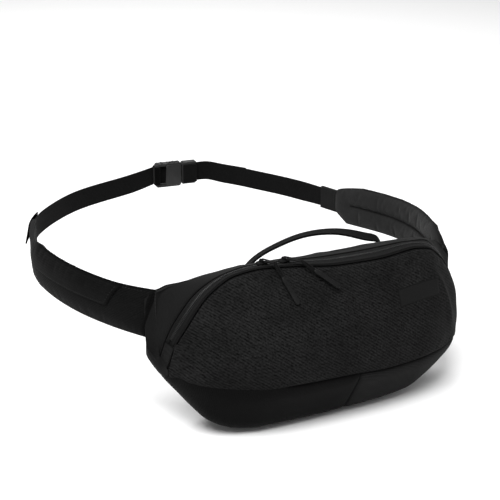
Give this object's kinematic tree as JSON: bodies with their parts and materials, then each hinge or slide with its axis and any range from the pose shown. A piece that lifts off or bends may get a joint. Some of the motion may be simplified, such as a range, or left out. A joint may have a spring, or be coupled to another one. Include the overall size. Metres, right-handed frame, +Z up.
{
  "type": "hip pack",
  "caption": "Zipped fabric hip pack on a padded waist belt with a side-release buckle, a front panel that opens on its zip and a top grab handle.",
  "frame": {"origin": "centre of the waist loop, level with the middle of the belt", "axes": "+Z up, -Y towards the pack's front, +Y towards the buckle, +X to the right for someone facing the front"},
  "size_m": [0.3764, 0.4406, 0.1542],
  "materials": {
    "twill": "heathered diagonal twill",
    "smooth_fabric": "fine plain weave",
    "ribbed_fabric": "fine ribbed weave",
    "lining": "plain lining",
    "mesh_padding": "soft brushed knit over foam",
    "foam_board": "closed-cell foam",
    "zip_tape": "herringbone tape",
    "zip_coil": "nylon coil",
    "zip_metal": "black satin",
    "cord": "braided",
    "grip_plastic": "soft moulded",
    "webbing": "ribbed nylon webbing",
    "buckle_plastic": "satin acetal",
    "hook_plastic": "satin"
  },
  "bodies": {
    "root": {"back_panel": "lining", "back_stiffener": "foam_board", "back_pad_left": "mesh_padding", "back_pad_middle": "mesh_padding", "back_pad_right": "mesh_padding", "gusset_left": "smooth_fabric", "gusset_top": "smooth_fabric", "gusset_right": "smooth_fabric", "zip_tape_rear": "zip_tape", "zip_coil_rear": "zip_coil", "zip_end_left": "smooth_fabric", "zip_end_right": "smooth_fabric", "bottom_panel_left": "smooth_fabric", "bottom_panel_right": "ribbed_fabric", "pack_end_left": "smooth_fabric", "pack_end_right": "smooth_fabric", "inner_pocket": "smooth_fabric", "key_strap": "webbing", "key_hook": "hook_plastic", "handle_anchor_left": "webbing", "handle_anchor_right": "webbing"},
    "front_flap": {"front_panel": "twill", "zip_tape_front": "zip_tape", "zip_coil_front": "zip_coil", "blank_patch": "smooth_fabric"},
    "slider_left": {"slider_left": "zip_metal"},
    "slider_right": {"slider_right": "zip_metal"},
    "tab_left": {"pull_tab_left": "zip_metal"},
    "tab_right": {"pull_tab_right": "zip_metal"},
    "grip_left": {"pull_cord_left": "cord", "pull_grip_left": "grip_plastic"},
    "grip_right": {"pull_cord_right": "cord", "pull_grip_right": "grip_plastic"},
    "handle": {"grab_handle": "webbing"},
    "belt_left": {"wing_left_outer": "smooth_fabric", "wing_left_pad": "mesh_padding", "wing_left_sleeve": "smooth_fabric", "wing_left_tab": "webbing", "webbing_left": "webbing", "webbing_stow_end": "webbing", "webbing_loop_left": "webbing", "buckle_female": "buckle_plastic"},
    "belt_right": {"wing_right_outer": "smooth_fabric", "wing_right_pad": "mesh_padding", "wing_right_sleeve": "smooth_fabric", "wing_right_tab": "webbing", "webbing_right": "webbing", "webbing_tail": "webbing"},
    "buckle_insert": {"buckle_male": "buckle_plastic"},
    "prong_upper": {"buckle_prong_upper": "buckle_plastic"},
    "prong_lower": {"buckle_prong_lower": "buckle_plastic"}
  },
  "joints": [
    {"name": "flap_open", "type": "hinge", "parent": "root", "child": "front_flap", "pos_m": [0, -0.257, -0.067], "axis": [1, 0, 0], "range_deg": [0, 25]},
    {"name": "slider_left_run", "type": "slide", "parent": "front_flap", "child": "slider_left", "axis": [-1, 0, 0], "range_m": [0, 0.007]},
    {"name": "slider_right_run", "type": "slide", "parent": "front_flap", "child": "slider_right", "axis": [0.9989, -0.0191, -0.0434], "range_m": [0, 0.115]},
    {"name": "pull_tab_left_flip", "type": "hinge", "parent": "slider_left", "child": "tab_left", "pos_m": [-0.067, -0.21123, 0.0469], "axis": [-0.9383, -0.3458, 0], "range_deg": [0, 110]},
    {"name": "pull_grip_left_swing", "type": "hinge", "parent": "tab_left", "child": "grip_left", "pos_m": [-0.062, -0.2248, 0.0476], "axis": [-0.9331, -0.2878, -0.2158], "range_deg": [0, 90]},
    {"name": "pull_tab_right_flip", "type": "hinge", "parent": "slider_right", "child": "tab_right", "pos_m": [-0.046, -0.21217, 0.04564], "axis": [-0.8381, -0.5455, 0], "range_deg": [0, 110]},
    {"name": "pull_grip_right_swing", "type": "hinge", "parent": "tab_right", "child": "grip_right", "pos_m": [-0.037, -0.226, 0.0454], "axis": [-0.6745, -0.5906, -0.443], "range_deg": [0, 90]},
    {"name": "handle_swing", "type": "hinge", "parent": "root", "child": "handle", "pos_m": [0.008, -0.165, 0.0288], "axis": [1, 0, 0], "range_deg": [-75, 3], "stiffness_Nm_per_rad": 0.01},
    {"name": "belt_left_swing", "type": "hinge", "parent": "root", "child": "belt_left", "pos_m": [-0.1565, -0.1685, 0], "axis": [0, 0, 1], "range_deg": [0, 55]},
    {"name": "belt_right_swing", "type": "hinge", "parent": "root", "child": "belt_right", "pos_m": [0.1565, -0.1685, 0], "axis": [0, 0, -1], "range_deg": [0, 55]},
    {"name": "buckle_adjust", "type": "slide", "parent": "belt_right", "child": "buckle_insert", "axis": [0.9903, -0.1392, 0], "range_m": [0, 0.012]},
    {"name": "prong_upper_squeeze", "type": "hinge", "parent": "buckle_insert", "child": "prong_upper", "pos_m": [0.04442, 0.17682, 0.0114], "axis": [-0.1392, -0.9903, 0], "range_deg": [0, 6], "stiffness_Nm_per_rad": 0.02},
    {"name": "prong_lower_squeeze", "type": "hinge", "parent": "buckle_insert", "child": "prong_lower", "pos_m": [0.04442, 0.17682, -0.0054], "axis": [0.1392, 0.9903, 0], "range_deg": [0, 6], "stiffness_Nm_per_rad": 0.02}
  ],
  "couplings": [
    {"joint": "belt_right_swing", "follows": "belt_left_swing", "ratio": 1},
    {"joint": "prong_lower_squeeze", "follows": "prong_upper_squeeze", "ratio": 1}
  ]
}
